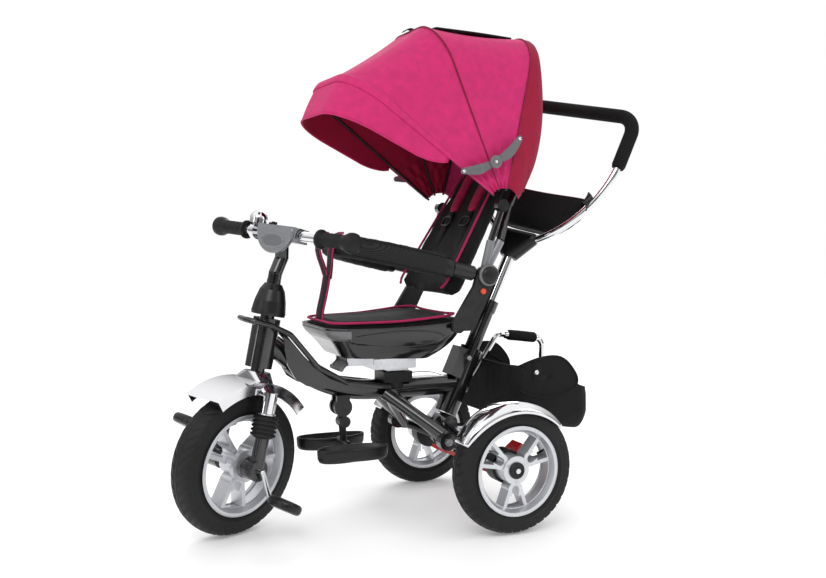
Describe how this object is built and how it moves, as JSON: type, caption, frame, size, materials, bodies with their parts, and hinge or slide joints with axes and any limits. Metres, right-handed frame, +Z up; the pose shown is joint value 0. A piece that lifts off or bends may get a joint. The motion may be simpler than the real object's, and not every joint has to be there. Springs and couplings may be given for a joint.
{
  "type": "children's tricycle",
  "caption": "Pushable child's tricycle: swivelling reclining seat with a folding canopy, steered front wheel on a sprung fork, telescopic push handle linked to the steering, basket and brakes.",
  "frame": {"origin": "on the ground, under the middle of the rear axle, on the mid-plane of the frame", "axes": "+X forward, +Y to the rider's left, +Z up"},
  "size_m": [0.9698, 0.494, 1.033],
  "materials": {
    "frame_black": "gloss",
    "moulded_black": "gloss",
    "satin_black": "satin",
    "grip_black": "matte",
    "tread_rubber": "matte",
    "wheel_silver": "satin metallic",
    "chrome": "polished",
    "zinc": "satin",
    "lever_grey": "satin",
    "plate_grey": "satin",
    "button_orange": "gloss",
    "pedal_red": "gloss",
    "canopy_pink": "woven",
    "black_fabric": "woven",
    "mesh_fabric": "diagonal weave",
    "pink_pad": "woven",
    "foam": "matte foam"
  },
  "bodies": {
    "frame": {"main_frame": "frame_black", "skirt_panels": "moulded_black", "seat_pedestal": "satin_black", "head_bearings": "zinc", "rear_axle": "zinc", "axle_brackets": "frame_black", "frame_bolts": "zinc", "rear_fenders": "chrome", "carry_handle": "chrome", "storage_basket": "black_fabric", "footrest_hanger": "satin_black"},
    "footrest": {"footrest_arm": "satin_black", "foot_plates": "satin_black"},
    "brake_left": {"brake_pedal_left": "pedal_red"},
    "brake_right": {"brake_pedal_right": "pedal_red"},
    "rear_wheel_left": {"rear_tyre_left": "tread_rubber", "rear_rim_left": "wheel_silver", "brake_drum_left": "satin_black"},
    "rear_wheel_right": {"rear_tyre_right": "tread_rubber", "rear_rim_right": "wheel_silver", "brake_drum_right": "satin_black"},
    "steering": {"head_cone": "satin_black", "stem": "frame_black", "fork_crown": "chrome", "handlebar": "chrome", "handlebar_grips": "grip_black", "handlebar_plate": "plate_grey", "bell": "chrome"},
    "bell_lever": {"bell_lever": "satin_black"},
    "fork_slider": {"fork_lowers": "frame_black", "gaiters": "grip_black", "fork_springs": "zinc"},
    "front_wheel": {"front_tyre": "tread_rubber", "front_rim": "wheel_silver"},
    "crank": {"crank": "chrome"},
    "pedal_left": {"pedal_left": "satin_black"},
    "pedal_right": {"pedal_right": "satin_black"},
    "seat": {"seat_turntable": "zinc", "seat_shell": "moulded_black", "seat_cushion": "black_fabric", "side_arms": "satin_black"},
    "seat_lever": {"seat_lever": "lever_grey"},
    "release_left": {"release_button_left": "button_orange"},
    "release_right": {"release_button_right": "button_orange"},
    "safety_bar": {"safety_bar": "mesh_fabric", "crotch_strap": "black_fabric"},
    "backrest": {"recline_brackets": "plate_grey", "backrest_frame": "frame_black", "backrest_pad": "black_fabric", "harness": "pink_pad", "canopy_back": "canopy_pink"},
    "canopy_middle": {"canopy_middle": "canopy_pink"},
    "canopy_front": {"canopy_front": "canopy_pink"},
    "strut_rear": {"strut_rear": "plate_grey"},
    "strut_front": {"strut_front": "plate_grey"},
    "push_mast": {"push_mast": "frame_black"},
    "push_handle": {"push_slider": "chrome", "mast_fitting": "satin_black", "foam_grip": "foam", "parent_bag": "black_fabric"}
  },
  "joints": [
    {"name": "footrest_swing", "type": "hinge", "parent": "frame", "child": "footrest", "pos_m": [0.282, 0, 0.236], "axis": [0, 1, 0], "range_deg": [0, 25]},
    {"name": "brake_left_press", "type": "hinge", "parent": "frame", "child": "brake_left", "pos_m": [0, 0.088, 0.1275], "axis": [0, 1, 0], "range_deg": [-15, 0]},
    {"name": "brake_right_press", "type": "hinge", "parent": "frame", "child": "brake_right", "pos_m": [0, -0.088, 0.1275], "axis": [0, 1, 0], "range_deg": [-15, 0]},
    {"name": "rear_wheel_left_spin", "type": "hinge", "parent": "frame", "child": "rear_wheel_left", "pos_m": [0, 0.211, 0.1275], "axis": [0, 1, 0], "continuous": true},
    {"name": "rear_wheel_right_spin", "type": "hinge", "parent": "frame", "child": "rear_wheel_right", "pos_m": [0, -0.211, 0.1275], "axis": [0, 1, 0], "continuous": true},
    {"name": "steering_turn", "type": "hinge", "parent": "frame", "child": "steering", "pos_m": [0.452, 0, 0.34], "axis": [-0.1908, 0, 0.9816], "range_deg": [-56, 4]},
    {"name": "bell_lever_press", "type": "hinge", "parent": "steering", "child": "bell_lever", "pos_m": [0.43385, -0.07011, 0.61255], "axis": [-0.1908, 0, 0.9816], "range_deg": [0, 25], "stiffness_Nm_per_rad": 0.05},
    {"name": "fork_spring_travel", "type": "slide", "parent": "steering", "child": "fork_slider", "axis": [-0.1908, 0, 0.9816], "range_m": [0, 0.012], "stiffness_N_per_m": 8000, "springref_m": -0.008, "deforming": ["gaiters", "fork_springs"]},
    {"name": "front_wheel_spin", "type": "hinge", "parent": "fork_slider", "child": "front_wheel", "pos_m": [0.50244, 0.0057, 0.14175], "axis": [-0.4303, 0.8988, -0.0836], "continuous": true},
    {"name": "crank_turn", "type": "hinge", "parent": "fork_slider", "child": "crank", "pos_m": [0.50244, 0.0057, 0.14175], "axis": [-0.4303, 0.8988, -0.0836], "continuous": true},
    {"name": "pedal_left_turn", "type": "hinge", "parent": "crank", "child": "pedal_left", "pos_m": [0.44998, 0.0636, 0.07741], "axis": [-0.4303, 0.8988, -0.0836], "continuous": true},
    {"name": "pedal_right_turn", "type": "hinge", "parent": "crank", "child": "pedal_right", "pos_m": [0.5549, -0.05221, 0.20608], "axis": [-0.4303, 0.8988, -0.0836], "continuous": true},
    {"name": "seat_swivel", "type": "hinge", "parent": "frame", "child": "seat", "pos_m": [0.165, 0, 0.3], "axis": [0, 0, 1], "range_deg": [-80, 80]},
    {"name": "seat_lever_pull", "type": "hinge", "parent": "seat", "child": "seat_lever", "pos_m": [0.272, 0, 0.334], "axis": [0, 1, 0], "range_deg": [-15, 0], "stiffness_Nm_per_rad": 0.6, "springref_deg": 5.73},
    {"name": "release_left_press", "type": "slide", "parent": "seat", "child": "release_left", "axis": [0, -1, 0], "range_m": [0, 0.003], "stiffness_N_per_m": 300},
    {"name": "release_right_press", "type": "slide", "parent": "seat", "child": "release_right", "axis": [0, 1, 0], "range_m": [0, 0.003], "stiffness_N_per_m": 300},
    {"name": "safety_bar_slide", "type": "slide", "parent": "seat", "child": "safety_bar", "axis": [0.9755, 0, 0.2198], "range_m": [0, 0.02]},
    {"name": "backrest_recline", "type": "hinge", "parent": "seat", "child": "backrest", "pos_m": [0.027, 0, 0.508], "axis": [0, 1, 0], "range_deg": [0, 15]},
    {"name": "canopy_fold", "type": "hinge", "parent": "backrest", "child": "canopy_middle", "pos_m": [-0.012, 0, 0.647], "axis": [0, 1, 0], "range_deg": [-14, 0]},
    {"name": "canopy_front_fold", "type": "hinge", "parent": "canopy_middle", "child": "canopy_front", "pos_m": [-0.012, 0, 0.647], "axis": [0, 1, 0], "range_deg": [-28, 0]},
    {"name": "strut_rear_fold", "type": "hinge", "parent": "backrest", "child": "strut_rear", "pos_m": [-0.0392, 0, 0.7806], "axis": [0, 1, 0], "range_deg": [0, 40.31]},
    {"name": "strut_front_fold", "type": "hinge", "parent": "strut_rear", "child": "strut_front", "pos_m": [0.0191, 0, 0.7322], "axis": [0, 1, 0], "range_deg": [-108, 0]},
    {"name": "push_mast_turn", "type": "hinge", "parent": "frame", "child": "push_mast", "pos_m": [-0.016, 0, 0.333], "axis": [-0.4147, 0, 0.91], "range_deg": [-56, 4]},
    {"name": "push_handle_height", "type": "slide", "parent": "push_mast", "child": "push_handle", "axis": [-0.4147, 0, 0.91], "range_m": [-0.03, 0.08]}
  ],
  "couplings": [
    {"joint": "crank_turn", "follows": "front_wheel_spin", "ratio": 1},
    {"joint": "canopy_front_fold", "follows": "canopy_fold", "ratio": 2},
    {"joint": "strut_rear_fold", "follows": "canopy_fold", "ratio": -2.879},
    {"joint": "strut_front_fold", "follows": "canopy_fold", "ratio": 7.714},
    {"joint": "push_mast_turn", "follows": "steering_turn", "ratio": 1}
  ]
}
